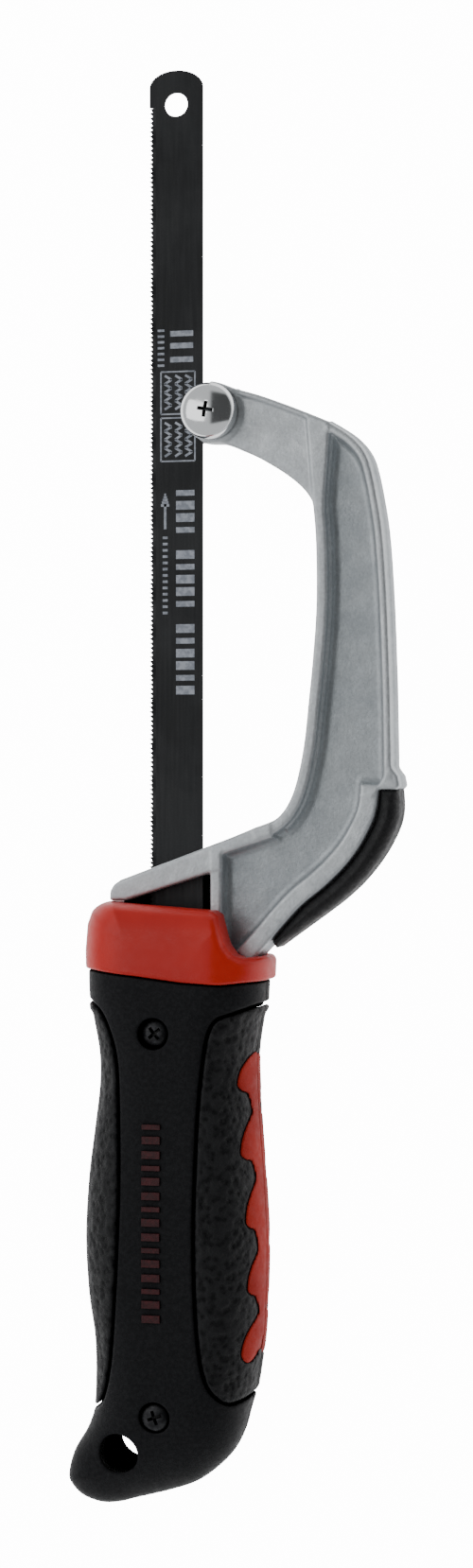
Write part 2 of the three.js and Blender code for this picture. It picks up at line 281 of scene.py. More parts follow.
def stand_for(piece, node, body):
    """The piece takes a CAD node's place on its body."""
    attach(piece, body)
    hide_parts(node)


# ---------- materials ----------
OPENNESS_SAMPLES = 6


class Shader:
    """A node material with the few nodes that the looks here need."""

    def __init__(self, name, color, roughness, **sockets):
        self.material = bpy.data.materials.new(name)
        self.material.use_nodes = True
        self.tree = self.material.node_tree
        self.bsdf = self.tree.nodes["Principled BSDF"]
        self.bsdf.inputs["Base Color"].default_value = (*color, 1.0)
        self.bsdf.inputs["Roughness"].default_value = roughness
        for socket, value in sockets.items():
            self.bsdf.inputs[socket.replace("_", " ")].default_value = value
        self.coords = self.add("ShaderNodeTexCoord").outputs["Object"]
        self.last_bump = None

    def add(self, kind, **values):
        node = self.tree.nodes.new(kind)
        for name, value in values.items():
            setattr(node, name, value)
        return node

    def link(self, out, socket):
        self.tree.links.new(out, socket)

    def noise(self, size, detail, roughness=0.5, coords=None):
        """Noise from 0 to 1 whose blotches are about this many metres across."""
        node = self.add("ShaderNodeTexNoise")
        self.link(coords or self.coords, node.inputs["Vector"])
        node.inputs["Scale"].default_value = 1 / size
        node.inputs["Detail"].default_value = detail
        node.inputs["Roughness"].default_value = roughness
        return node.outputs["Fac"]

    def cells(self, size):
        """Distance inside cells of about this many metres."""
        node = self.add("ShaderNodeTexVoronoi", feature="SMOOTH_F1")
        self.link(self.coords, node.inputs["Vector"])
        node.inputs["Scale"].default_value = 1 / size
        return node.outputs["Distance"]

    def ranged(self, value, low, high, out_low=0.0, out_high=1.0):
        """The value eased from one range into another."""
        node = self.add("ShaderNodeMapRange", interpolation_type="SMOOTHSTEP")
        self.link(value, node.inputs["Value"])
        limits = {"From Min": low, "From Max": high, "To Min": out_low, "To Max": out_high}
        for name, number in limits.items():
            node.inputs[name].default_value = number
        return node.outputs["Result"]

    def math(self, operation, a, b=None):
        node = self.add("ShaderNodeMath", operation=operation)
        for socket, value in zip(node.inputs, (a, b)):
            if isinstance(value, (int, float)):
                socket.default_value = value
            elif value is not None:
                self.link(value, socket)
        return node.outputs["Value"]

    def blend(self, share, a, b, way="MIX"):
        """One colour into another, each a colour or an output."""
        node = self.add("ShaderNodeMix", data_type="RGBA", blend_type=way)
        if isinstance(share, (int, float)):
            node.inputs["Factor"].default_value = share
        else:
            self.link(share, node.inputs["Factor"])
        for socket, value in ((node.inputs[6], a), (node.inputs[7], b)):
            if isinstance(value, tuple):
                socket.default_value = (*value, 1.0)
            else:
                self.link(value, socket)
        return node.outputs[2]

    def paint(self, color):
        self.link(color, self.bsdf.inputs["Base Color"])

    def rough(self, value):
        self.link(value, self.bsdf.inputs["Roughness"])

    def bump(self, height, metres, strength):
        """Relief this many metres deep, on top of any earlier relief."""
        node = self.add("ShaderNodeBump")
        node.inputs["Strength"].default_value = strength
        node.inputs["Distance"].default_value = metres
        self.link(height, node.inputs["Height"])
        if self.last_bump:
            self.link(self.last_bump, node.inputs["Normal"])
        self.last_bump = node.outputs["Normal"]
        self.link(self.last_bump, self.bsdf.inputs["Normal"])

    def height(self):
        """Distance from the saw's mid-plane, in metres."""
        parts = self.add("ShaderNodeSeparateXYZ")
        self.link(self.coords, parts.inputs["Vector"])
        return self.math("ABSOLUTE", self.math("SUBTRACT", parts.outputs["Z"], MID * MM))

    def openness(self, reach, low, high):
        """From 0 deep in a recess to 1 in the open, judged by what lies within reach: the mask by which the
        materials paint shade into recesses.
        """
        node = self.add("ShaderNodeAmbientOcclusion", samples=OPENNESS_SAMPLES)
        node.inputs["Distance"].default_value = reach
        return self.ranged(node.outputs["AO"], low, high)


def cast_aluminium():
    """Tumbled aluminium casting: bright rims, a darker as-cast web, a fine sandy grain."""
    s = Shader("cast_aluminium", (0.6, 0.62, 0.64), 0.45, Metallic=0.6)
    high = s.ranged(s.height(), 0.0019, 0.0036)
    blotch = s.ranged(s.noise(0.011, 4, 0.6), 0.3, 0.7)
    grain = s.ranged(s.noise(0.0009, 4, 0.7), 0.3, 0.7)
    web = s.blend(blotch, (0.44, 0.475, 0.5), (0.5, 0.535, 0.555))
    rim = s.blend(blotch, (0.63, 0.665, 0.69), (0.71, 0.74, 0.76))
    sand = s.blend(grain, (0.86, 0.86, 0.86), (1.0, 1.0, 1.0))
    s.paint(s.blend(1.0, s.blend(high, web, rim), sand, "MULTIPLY"))
    s.rough(s.ranged(s.noise(0.004, 5, 0.65), 0.3, 0.7, 0.38, 0.52))
    s.bump(s.noise(0.0007, 3, 0.6), 0.00012, 0.5)
    s.bump(s.noise(0.006, 3, 0.5), 0.0005, 0.35)
    return s.material


def black_blade():
    """Black-painted spring steel with faint lengthwise rolling marks."""
    s = Shader("black_blade_steel", (0.02, 0.021, 0.023), 0.42, Metallic=0.1, Specular_IOR_Level=0.2)
    stretch = s.add("ShaderNodeMapping")
    stretch.inputs["Scale"].default_value = (1.0, 0.04, 1.0)
    s.link(s.coords, stretch.inputs["Vector"])
    marks = s.noise(0.0006, 3, 0.6, stretch.outputs["Vector"])
    patches = s.noise(0.02, 4, 0.6)
    s.paint(s.blend(s.ranged(patches, 0.35, 0.65), (0.018, 0.0185, 0.02), (0.03, 0.031, 0.033)))
    s.rough(s.ranged(marks, 0.3, 0.7, 0.34, 0.5))
    s.bump(marks, 0.00002, 0.5)
    return s.material


def chrome():
    """Bright plating, with painted shade making it dark down in the driver's recess."""
    s = Shader("chrome", (0.86, 0.87, 0.88), 0.12, Metallic=1.0)
    # painted shade: near black blended in where the openness mask finds the driver's recess deep
    s.paint(s.blend(s.openness(0.003, 0.45, 0.85), (0.012, 0.013, 0.015), (0.87, 0.88, 0.89)))
    s.rough(s.ranged(s.noise(0.003, 3), 0.3, 0.7, 0.09, 0.17))
    s.bump(s.noise(0.004, 2), 0.00003, 0.3)
    return s.material


def zinc_steel():
    """Dull zinc plating, cloudy all over."""
    s = Shader("zinc_steel", (0.5, 0.51, 0.52), 0.35, Metallic=1.0)
    s.paint(s.blend(s.ranged(s.noise(0.003, 4), 0.3, 0.7), (0.42, 0.43, 0.44), (0.56, 0.57, 0.57)))
    s.rough(s.ranged(s.noise(0.0012, 4), 0.3, 0.7, 0.28, 0.45))
    s.bump(s.noise(0.0006, 3), 0.00004, 0.5)
    return s.material


def black_screw():
    """Black oxide with a little bright metal where the driver rubs, and painted shade down in the driver's
    recess.
    """
    s = Shader("black_screw", (0.02, 0.02, 0.022), 0.3, Metallic=0.3, Specular_IOR_Level=0.25)
    worn = s.blend(s.ranged(s.noise(0.0015, 4), 0.35, 0.7), (0.014, 0.014, 0.016), (0.05, 0.05, 0.054))
    # painted shade: near black in the recess, by the openness mask
    s.paint(s.blend(s.openness(0.0015, 0.4, 0.8), (0.002, 0.002, 0.002), worn))
    s.rough(s.ranged(s.noise(0.001, 3), 0.3, 0.7, 0.25, 0.42))
    s.bump(s.noise(0.0005, 3), 0.00004, 0.5)
    return s.material


def red_plastic():
    """Satin moulded plastic, its red deeper in some places than in others."""
    s = Shader("red_plastic", (0.7, 0.03, 0.02), 0.36, Specular_IOR_Level=0.3)
    tone = s.ranged(s.noise(0.025, 3), 0.3, 0.7)
    s.paint(s.blend(tone, (0.58, 0.019, 0.013), (0.7, 0.029, 0.019)))
    s.rough(s.ranged(s.noise(0.002, 4), 0.3, 0.7, 0.3, 0.42))
    s.bump(s.noise(0.0005, 3, 0.6), 0.00005, 0.4)
    return s.material


def red_rubber():
    """The grips' soft red inlay, with hardly any shine."""
    s = Shader("red_rubber", (0.6, 0.04, 0.02), 0.55, Specular_IOR_Level=0.1)
    tone = s.ranged(s.noise(0.012, 3), 0.3, 0.7)
    s.paint(s.blend(tone, (0.33, 0.013, 0.007), (0.43, 0.021, 0.011)))
    s.rough(s.ranged(s.noise(0.002, 4), 0.3, 0.7, 0.48, 0.62))
    s.bump(s.noise(0.0006, 3, 0.6), 0.0001, 0.5)
    return s.material


def black_plastic():
    """Charcoal moulded plastic with a fine spark-eroded grain, and painted shade with dimmed shine down in
    recesses such as the hang hole and grooves.
    """
    s = Shader("black_plastic", (0.02, 0.02, 0.022), 0.42, Specular_IOR_Level=0.12)
    tone = s.ranged(s.noise(0.0009, 4, 0.7), 0.35, 0.7)
    grain = s.blend(tone, (0.013, 0.013, 0.0145), (0.022, 0.022, 0.024))
    # painted shade: the openness mask turns the colour near black and dims the shine deep in recesses
    unshaded_share = s.openness(0.014, 0.4, 0.85)
    s.paint(s.blend(unshaded_share, (0.002, 0.002, 0.0022), grain))
    s.link(s.math("MULTIPLY", unshaded_share, 0.05), s.bsdf.inputs["Specular IOR Level"])
    s.rough(s.ranged(s.noise(0.0014, 4), 0.3, 0.7, 0.36, 0.5))
    s.bump(s.noise(0.0005, 4, 0.7), 0.00012, 0.6)
    return s.material


def black_rubber():
    """Soft rubber with a pebbled, leathery skin."""
    s = Shader("black_rubber", (0.014, 0.014, 0.015), 0.62, Specular_IOR_Level=0.17)
    pebbles = s.cells(0.0016)
    folds = s.noise(0.0032, 4, 0.65)
    tone = s.ranged(s.math("MULTIPLY", folds, s.ranged(pebbles, 0.1, 0.5)), 0.1, 0.6)
    s.paint(s.blend(tone, (0.006, 0.006, 0.007), (0.02, 0.02, 0.0215)))
    s.rough(s.ranged(folds, 0.3, 0.7, 0.45, 0.65))
    s.bump(folds, 0.0008, 0.8)
    s.bump(pebbles, 0.0006, 0.9)
    return s.material


def dull_red():
    """Worn red ink on the grained shell."""
    s = Shader("dull_red_ink", (0.06, 0.012, 0.016), 0.5, Specular_IOR_Level=0.28)
    wear = s.ranged(s.noise(0.001, 4, 0.7), 0.35, 0.65)
    s.paint(s.blend(wear, (0.035, 0.008, 0.01), (0.075, 0.012, 0.015)))
    s.rough(s.ranged(s.noise(0.0014, 4), 0.3, 0.7, 0.4, 0.55))
    s.bump(s.noise(0.0005, 4, 0.7), 0.0001, 0.5)
    return s.material


def grey_rubber():
    """The thumb rest's finely grained, greyer rubber."""
    s = Shader("grey_rubber", (0.03, 0.03, 0.032), 0.6, Specular_IOR_Level=0.35)
    tone = s.ranged(s.noise(0.0012, 4, 0.7), 0.35, 0.7)
    s.paint(s.blend(tone, (0.005, 0.005, 0.006), (0.013, 0.013, 0.0145)))
    s.rough(s.ranged(s.noise(0.0014, 4), 0.3, 0.7, 0.45, 0.62))
    s.bump(s.noise(0.0009, 4, 0.7), 0.0003, 0.7)
    return s.material


def print_white():
    """Worn light print on the blade."""
    s = Shader("blade_print", (0.6, 0.62, 0.65), 0.55)
    s.paint(s.blend(s.ranged(s.noise(0.0012, 4), 0.35, 0.65), (0.3, 0.325, 0.38), (0.5, 0.53, 0.6)))
    s.bump(s.noise(0.0005, 3), 0.00002, 0.4)
    return s.material


# ---------- cast frame ----------
GAP = 0.3  # left between pieces that touch
SCREW_HOLE = 1.75  # radius of the handle screws' holes
CLAMP_HOLE = 2.65  # radius of the clamp screw's hole
RIM_HALF = 5.5  # half depth of the rims
WEB_HALF = 1.6
SEAT = 0.6  # the faces that the blade lies against
ARM_TOP = 4.7
EDGE = 0.65  # rounding of cast edges
FILLET = 0.4
WEB_FILLET = 1.9
THROAT = smooth([(33.3, 101), (34, 92), (34.1, 78), (33.3, 66), (32.3, 56), (31.2, 46), (29.3, 37),
                 (26.9, 31.6), (23.6, 28.5), (19, 26.8)])
SPINE_BACK = smooth([(37, 119.3), (41.3, 116.6), (44.1, 114), (45.8, 111.4), (46.8, 108.5), (48, 103),
                     (49.4, 94), (50.4, 80), (51.1, 62), (51.4, 48), (51.5, 38)])
FLANGE = smooth([(48.6, 37), (48.3, 33), (47.4, 29.4), (45.7, 25.7), (43.2, 21.6), (40, 17.7),
                 (35.8, 13.7), (31.1, 9.9), (27, 5.6), (23.4, 1.4), (20.8, -1.4), (18.4, -4.0)])
ARM_BACK = smooth([(9.6, 129.2), (14.2, 127.8), (20, 126.1), (25, 124.3), (31, 121.9), (37, 119.3)])
ARM_UNDER = smooth([(33.3, 101), (31.6, 103.6), (29.2, 106), (25.8, 108.5), (21, 111.4), (17, 113.3),
                    (12.5, 115.1), (7.6, 115.9)])
STRIP = np.array([(23.6, 28.5), (-12, 15.1), (-13.6, 14), (-14.5, 12.5), (-14.6, 10.3), (-10.7, 10.3),
                  (9.3, 16.9), (12.1, 17.6), (12.1, 21), (24, 25)])
TANG = np.array([(-8, 5), (9.3, 5), (10.6, 3), (11.8, -0.8), (13.6, -3.8), (11.8, -8), (11.8, -92),
                 (5.8, -98), (-4, -98), (-8, -94)])
ROOT = np.array([(31.6, 121.5), (33.3, 101), (36, 100), (37.3, 118.8), (36.8, 119.4)])
EAR = np.array([(44, 34.6), (47.8, 36.2), (51.2, 41.5), (53, 39), (53.4, 36.8), (52.6, 35.9), (48.4, 35.9),
                (47, 33.5)])
RIB = np.array([(9.3, -1), (12.1, -1), (12.1, 22), (9.3, 22)])
INNER_RIM = 2.6
OUTER_RIM = 1.9
FLANGE_WIDE = 4.3
LEDGE = 0.55  # step at the foot of the inner rim
LEDGE_HALF = 3.3
INNER_FOOT = np.concatenate([[(37.0, 118.6)], beside(THROAT, 0.3 - INNER_RIM)[:-8]])
ARM_EDGE = 0.5
ARM_LIP = 1.2  # width of the lip along the arm's back
BOSS_R = 6.7
BOSS_TOP = 5.2
BOSS_EDGE = 0.4
BOSS_FILLET = 1.2


def casting_field(g):
    web = np.concatenate([beside(THROAT, -0.5), [(9.3, 21.5), (9.3, -1), (12, -4.2)], FLANGE[::-1],
                          [(51, 38)], SPINE_BACK[::-1]])
    arm = np.concatenate([ARM_BACK, ARM_UNDER])
    field = g.slab(web, -WEB_HALF, WEB_HALF)
    full = (-RIM_HALF, RIM_HALF)
    walls = [
        (band(THROAT, -INNER_RIM), *full, EDGE),
        (band(INNER_FOOT, -0.3 - LEDGE), -LEDGE_HALF, LEDGE_HALF, 0.25),
        (band(SPINE_BACK, OUTER_RIM), *full, EDGE),
        (band(FLANGE, FLANGE_WIDE), *full, EDGE),
        (STRIP, SEAT, RIM_HALF, EDGE),
        (RIB, SEAT, RIM_HALF, EDGE),
        (TANG, SEAT, RIM_HALF - 1, EDGE),
    ]
    raised = g.slab(*walls[0])
    for outline, low, high, edge in walls[1:]:
        raised = either(raised, g.slab(outline, low, high, edge), 0.5)
    field = either(field, raised, WEB_FILLET)
    boss = both(g.hole(BOSS, BOSS_R), np.maximum(SEAT - g.h, g.h - BOSS_TOP), BOSS_EDGE)
    head = g.slab(arm, SEAT, ARM_TOP, ARM_EDGE)
    head = either(head, g.slab(ROOT, *full, EDGE), FILLET)
    head = either(head, g.slab(band(ARM_BACK, ARM_LIP), SEAT, RIM_HALF, 0.4), FILLET)
    head = either(head, boss, BOSS_FILLET)
    field = either(field, head, 0.5)
    field = either(field, g.slab(EAR, *full, EDGE), FILLET)
    field = both(field, -g.hole(BOSS, CLAMP_HOLE), 0.3)
    return both(field, -g.hole(SCREW_UPPER, SCREW_HOLE))


def make_frame(material):
    g = Grid((-14.6, -98, -RIM_HALF), (53.4, 129.3, RIM_HALF), STEP)
    piece = moulded("cast_frame", casting_field(g), g, material, 0.3)
    stand_for(piece, "frame", "saw")


# ---------- handle ----------
CROWN = 2.6  # exponent of the crowned section
CROWN_REACH = 18.0  # how far in from the edge the section goes on rising
CROWN_EDGE = 0.4
GRIP_DEEP = 2.6
INLAY_DEEP = 1.4
WALL = 2.5
GROOVE = 0.7
GROOVE_DEEP = 1.2
SPLIT = 0.06  # half the gap of the parting line
BORE = 3.6  # radius of the counterbores
BORE_FLOOR = 10.9
POST_WALL = 1.2  # of the post under the upper counterbore
HANG_R = 4.6
CAVITY_END = -104.6
FAR = 60
HANDLE = np.array([(21.6, 40), (21.5, -8.5), (20.1, -16.5), (19.0, -24.4), (19.1, -32), (19.7, -43),
                   (20.5, -53.6), (21.2, -67), (21.0, -80), (20.4, -90.7), (18.9, -101.3), (17.4, -107),
                   (16.0, -112), (12.9, -117.4), (6.6, -122.8), (0.2, -125.5), (-8.5, -128), (-13, -129.3),
                   (-17.4, -129.6), (-21.8, -128.2), (-24.6, -125.5), (-25.3, -122.8), (-23.8, -117.4),
                   (-20.6, -112), (-18.7, -107), (-18.1, -101.3), (-18.2, -90.7), (-19.7, -80),
                   (-20.4, -67), (-19.7, -53.6), (-18.4, -43), (-17.1, -32), (-17.2, -24.4),
                   (-18.6, -16.5), (-19.9, -8.5), (-19.9, 40)])
HANDLE_DEEP = [(-129.6, 8.5), (-125.5, 9.2), (-120, 10.6), (-112, 12.6), (-107, 13.8), (-101.3, 14.5),
               (-90.7, 15), (-67, 15.5), (-53.6, 15.3), (-32, 14.8), (-24.4, 14.9), (-8.5, 15.4), (10, 15.4)]
COLLAR = np.array([(18, 14), (21, 10.6), (22.2, 8), (22.8, 5), (23.1, -1), (22.9, -6), (22.5, -12),
                   (22.5, -40), (-20.1, -40), (-20.1, -12), (-20.6, -6), (-20.7, -1), (-20.2, 5),
                   (-19.1, 8), (-16.8, 10.6), (-14, 14)])
COLLAR_DEEP = 15.8
COLLAR_TOP = np.array([(-14, 10.1), (11.3, 8.4), (12.8, 7.4), (13.6, 4.2), (14.6, 0.8), (16.3, -1.5),
                       (18.3, -2.3), (21.8, -1.9), (FAR, -1), (FAR, -200), (-FAR, -200), (-FAR, 10.4)])
COLLAR_BOTTOM = np.array([(-16.7, -5.3), (-5.8, -6.4), (4.9, -7.7), (13.6, -8.2), (18.8, -7.7), (FAR, -6.4),
                          (FAR, -200), (-FAR, -200), (-FAR, -5)])
NECK_TOP = np.array([(9.2, 6.2), (11, 0.8), (14, -5), (FAR, -5), (FAR, -200), (-FAR, -200), (-FAR, 6.2)])
COLLAR_SLOT = np.array([(-13.5, 14), (-13.5, -10), (16.4, -10), (16.4, -6.4), (21.4, -1.6), (30, 7),
                        (30, 14)])
FINGER_EDGE = [(-18.6, -12.6), (-15.4, -14.4), (-13.0, -18.3), (-11.0, -24.9), (-10.3, -34.8), (-9.8, -51),
               (-10.1, -66.5), (-11.1, -82), (-12.6, -95.8), (-14.8, -103.6), (-17.6, -106.6)]
PALM_EDGE = [(20.6, -13.2), (15.7, -15.0), (12.7, -16.2), (11.0, -19.0), (9.9, -24.3), (8.7, -36),
             (8.0, -53.8), (7.8, -65.7), (8.0, -79), (8.7, -90), (9.8, -97), (11.6, -101), (14.7, -103.6),
             (18.4, -102.8)]
# each drip of the inlay: the leftmost point of its belly, and the crest of the lump under it
DRIPS = [((16.7, -30.6), (19.0, -37.2)), ((17.5, -46.2), (20.0, -52.3)), ((18.7, -61.6), (20.7, -68.1)),
         ((19.0, -77.2), (20.6, -82.5)), ((17.7, -92.4), (20.3, -92.6))]
INLAY_HEAD = (19.6, -22.0)
INLAY_TOP = -21.0
REAR_INLAY_SHIFT = 0.3  # the rear inlay's drips are this much slimmer
INLAY_FOOT = [(18.2, -94.0), (18.9, -94.4), (19.6, -93.7), (20.2, -91.9), (20.7, -89.5)]


def pillow(g, outline, deep):
    """A crowned body over an outline: superelliptic towards its edge, as deep as deep says, flat on top."""
    u = 1 - np.minimum(-g.plan(outline), CROWN_REACH) / CROWN_REACH
    v = np.abs(g.h) / deep
    size = (u ** CROWN + v ** CROWN) ** (1 / CROWN)
    slope = np.hypot(u ** (CROWN - 1) / CROWN_REACH, v ** (CROWN - 1) / deep)
    body = (size - 1) * size ** (CROWN - 1) / np.maximum(slope, 1e-4)
    return both(body, np.abs(g.h) - deep + CROWN_EDGE, CROWN_EDGE)


def inlay_outline(side):
    """The drips: each slants out to a round belly, then cuts back over the rounded lump below it."""
    edge = [INLAY_HEAD]
    start = np.array(INLAY_HEAD)
    for belly, lump in DRIPS:
        belly, lump = np.array(belly), np.array(lump)
        edge += [start + (belly - start) * share for share in ((0.12, 0.2), (0.48, 0.42), (0.84, 0.7))]
        edge.append(belly)
        if lump[1] < belly[1] - 1:
            edge += [belly + (lump - belly) * share for share in ((0.1, 0.17), (0.4, 0.31), (0.75, 0.42))]
            edge.append(lump)
            start = lump
    edge += INLAY_FOOT
    shift = 0 if side > 0 else REAR_INLAY_SHIFT
    return np.concatenate([smooth(edge, 4) + (shift, 0), [(FAR, INLAY_FOOT[-1][1]), (FAR, INLAY_TOP)]])


def grip_zones(g, side):
    """Plan distances of the finger grip, the palm grip and the inlay."""
    finger = np.concatenate([[(-FAR, -11.4)], smooth(FINGER_EDGE, 4), [(-FAR, -108.4)]])
    palm = np.concatenate([[(FAR, -11.6)], smooth(PALM_EDGE, 4), [(FAR, -101)]])
    return g.plan(finger), g.plan(palm), g.plan(inlay_outline(side))


def handle_fields(g, side):
    """Shell, finger grip, palm grip and inlay of the half on one side of the mid-plane."""
    deep = np.interp(g.y[0], *zip(*HANDLE_DEEP))[None, :, None]
    body = pillow(g, smooth(HANDLE, 5), deep)
    finger, palm, inlay = grip_zones(g, side)
    zones = np.minimum(finger, palm)
    top = g.plan(COLLAR_BOTTOM) + GAP
    half = SPLIT - side * g.h
    shell = both(both(body, GROOVE / 2 - zones, 0.5), top, 0.4)
    shell = np.minimum(shell, np.maximum(body + GRIP_DEEP + GAP, g.plan(NECK_TOP)))
    groove_floor = np.maximum(np.maximum(body + GROOVE_DEEP, 0.05 - GROOVE / 2 - zones), top)
    shell = np.minimum(shell, groove_floor)
    cavity = np.maximum(body + GRIP_DEEP + WALL + GAP, CAVITY_END - g.y[:, :, None])
    shell = np.maximum(shell, -cavity)
    if side > 0:
        post = np.maximum(g.hole(SCREW_UPPER, BORE + POST_WALL), RIM_HALF - 0.7 - g.h)
        post = np.maximum(post, body + 5)
        shell = np.minimum(shell, post)
        for place in (SCREW_UPPER, SCREW_LOWER):
            shell = both(shell, -np.maximum(g.hole(place, BORE), BORE_FLOOR - g.h), 0.35)
            shell = np.maximum(shell, -g.hole(place, SCREW_HOLE))
    shell = both(shell, -g.hole(HANG, HANG_R), 0.6)
    finger_grip = np.maximum(both(body - 0.2, finger + GROOVE / 2, 0.9), -(body + GRIP_DEEP))
    palm_grip = np.maximum(both(body - 0.2, palm + GROOVE / 2, 0.9), -(body + GRIP_DEEP))
    bed = np.maximum(inlay - 0.12, -(body + INLAY_DEEP + 0.15))
    palm_grip = both(palm_grip, -bed, 0.2)
    palm_inlay = np.maximum(both(body - 0.3, inlay, 0.45), -(body + INLAY_DEEP))
    fields = {
        "handle_shell": shell,
        "finger_grip": finger_grip,
        "palm_grip": palm_grip,
        "palm_inlay": palm_inlay,
    }
    return {name: both(field, half, 0.22) for name, field in fields.items()}


def make_handle(plastic, rubber, red):
    looks = {
        "handle_shell": (plastic, "black_plastic", 0.3),
        "finger_grip": (rubber, "black_rubber", 0.4),
        "palm_grip": (rubber, "black_rubber", 0.4),
        "palm_inlay": (red, "red_rubber", 0.5),
    }
    for side, word in ((1, "front"), (-1, "rear")):
        low, high = (0, 16) if side > 0 else (-16, 0)
        g = Grid((-26, -130, low), (22.2, 7, high), STEP)
        for name, field in handle_fields(g, side).items():
            material, slot, ratio = looks[name]
            piece = moulded(f"{name}_{word}_skin", field, g, material, ratio)
            stand_for(piece, f"{name}_{word}", "saw")


def make_collar(material):
    g = Grid((-22, -9, -16), (24, 11, 16), STEP * 0.8)
    body = pillow(g, COLLAR, COLLAR_DEEP)
    field = both(both(body, g.plan(COLLAR_TOP), 1.8), -g.plan(COLLAR_BOTTOM), 0.6)
    cavity = np.maximum(body + GRIP_DEEP, g.plan(NECK_TOP) - GAP)
    field = np.maximum(field, -cavity)
    field = both(field, -g.slab(COLLAR_SLOT, -RIM_HALF - GAP, RIM_HALF + GAP), 0.5)
    stand_for(moulded("collar_shell", field, g, material, 0.4), "collar", "saw")


def make_thumb_rest(material):
    g = Grid((23, -2, -6.2), (54, 36, 6.2), STEP * 0.8)
    outside = smooth([(52.9, 36.2), (53.1, 31.5), (52.3, 27.6), (50, 22.8), (47.2, 18.6), (43.6, 14.4),
                      (39.4, 10.6), (34.9, 7.2), (29.5, 3.3), (24.6, -0.3)])
    outline = np.concatenate([[(48.7, 36.2)], beside(FLANGE, -GAP)[9:-12], outside[::-1]])
    field = g.slab(outline, -6, 6, 2.8)
    stand_for(moulded("thumb_rest_pad", field, g, material, 0.5), "thumb_rest", "saw")


def make_guide(material):
    g = Grid((-13, -8, -5.6), (9, 19.5, -0.5), STEP)
    field = g.slab(np.array([(-13, -8), (8.9, -8), (8.9, 19.4), (-13, 12.4)]), -5.5, -0.62, 0.8)
    stand_for(moulded("blade_guide_block", field, g, material, 0.3), "blade_guide", "saw")


def make_clamp_plate(material):
    g = Grid((-3, 116, -4), (16.5, 128.6, 0.4), STEP * 0.6)
    outline = np.array([(-3, 117.2), (-1.8, 116.2), (14.6, 116.2), (16.4, 118), (16.4, 126.6), (14.6, 128.4),
                        (-1.8, 128.4), (-3, 127.4)])
    heel = np.array([(13, 118), (16.4, 118), (16.4, 126.6), (13, 126.6)])
    field = either(g.slab(outline, -3.9, -0.65, 0.5), g.slab(heel, -3.9, 0.3, 0.4), 0.4)
    field = both(field, -g.hole(BOSS, CLAMP_HOLE), 0.3)
    piece = moulded("clamp_plate_pressing", field, g, material, 0.5)
    stand_for(piece, "clamp_plate", "clamp_plate")


# ---------- blade ----------
BLADE_HALF = 0.32
TOOTH_PITCH = 25.4 / 24
TOOTH_DEEP = 0.65
# down one tooth: how far along its pitch, how deep from its tip, how much of its set
TOOTH_STEPS = ((0.0, 0.0, 1.0), (0.45, 0.85, 0.35), (0.8, 1.0, 0.0))
SET_WAVE = 8.8  # length of one wave of the set
SET_OUT = 0.22
TOOTH_STRIP = 1.5  # width of the strip that is bent by the set
NOTCH = 0.3  # gap between the toothed strip and the plain ends
HOLE_R = 2.75
HOLE_FROM_END = 7.9
END_ROUND = 3.9


def tooth_line(edge, low, high):
    """Points down the toothed edge, with how far each stands out of the blade's plane."""
    count = int((high - low) / TOOTH_PITCH)
    points = []
    for i in range(count):
        y = high - i * TOOTH_PITCH
        for drop, deep, out in TOOTH_STEPS:
            at = y - drop * TOOTH_PITCH
            wave = math.sin(2 * math.pi * at / SET_WAVE)
            points.append((edge + deep * TOOTH_DEEP, at, SET_OUT * wave * (0.5 + 0.5 * out)))
    return points


def blade_faces(bm, sign, teeth, body, holes):
    """One side of the blade: the toothed strip and the plain body with its holes."""
    lift = sign * BLADE_HALF + MID
    tips = [bm.verts.new(Vector((x, y, lift + bend)) * MM) for x, y, bend in teeth]
    rings = [[Vector((x, y, 0)) for x, y in ring] for ring in (body, *holes)]
    verts = [bm.verts.new(Vector((p.x, p.y, lift)) * MM) for ring in rings for p in ring]
    for corners in tessellate_polygon(rings):
        face = [verts[i] for i in corners]
        if sign < 0:
            face.reverse()
        bm.faces.new(face)
    inner = verts[:len(teeth)]
    for (a, b), (c, d) in zip(zip(tips, tips[1:]), zip(inner, inner[1:])):
        bm.faces.new((a, b, d, c) if sign > 0 else (c, d, b, a))
    return tips, verts, inner


def make_blade(material):
    left, right = BLADE_LOW[0], BLADE_HIGH[0]
    bottom, top = BLADE_LOW[1], BLADE_HIGH[1]
    teeth = tooth_line(left, bottom + 2.5 * END_ROUND, top - 2.2 * END_ROUND)
    turn = np.linspace(math.pi, 0, 25)
    cap = [(right * math.cos(t), top - END_ROUND + END_ROUND * math.sin(t)) for t in turn]
    foot = [(right * math.cos(t), bottom + END_ROUND - END_ROUND * math.sin(t)) for t in turn]
    spine = [(left + TOOTH_STRIP, y) for _, y, _ in teeth]
    # down the toothed strip, round the foot, up the back, round the tip
    body = spine + [(left, teeth[-1][1] - NOTCH)] + foot + cap[::-1] + [(left, teeth[0][1] + NOTCH)]
    circle = np.linspace(0, 2 * math.pi, 33)[:-1]
    holes = [[(HOLE_R * math.cos(t), y + HOLE_R * math.sin(t)) for t in circle]
             for y in (top - HOLE_FROM_END, bottom + HOLE_FROM_END)]
    bm = bmesh.new()
    front = blade_faces(bm, 1, teeth, body, holes)
    rear = blade_faces(bm, -1, teeth, body, holes)
    count = len(teeth)
    near, far = ([inner[-1], *verts[count:len(body)], inner[0]] for tips, verts, inner in (front, rear))
    for over, under in ((front[0], rear[0]), (near, far)):
        for k in range(len(over) - 1):
            bm.faces.new((over[k + 1], over[k], under[k], under[k + 1]))
    start = len(body)
    for hole in holes:
        size = len(hole)
        for k in range(size):
            i, j = start + k, start + (k + 1) % size
            bm.faces.new((front[1][i], front[1][j], rear[1][j], rear[1][i]))
        start += size
    for end in (0, -1):
        bm.faces.new((front[0][end], front[2][end], rear[2][end], rear[0][end]))
    bmesh.ops.recalc_face_normals(bm, faces=bm.faces)
    stand_for(add_bmesh("saw_blade", bm, material), "blade", "blade")


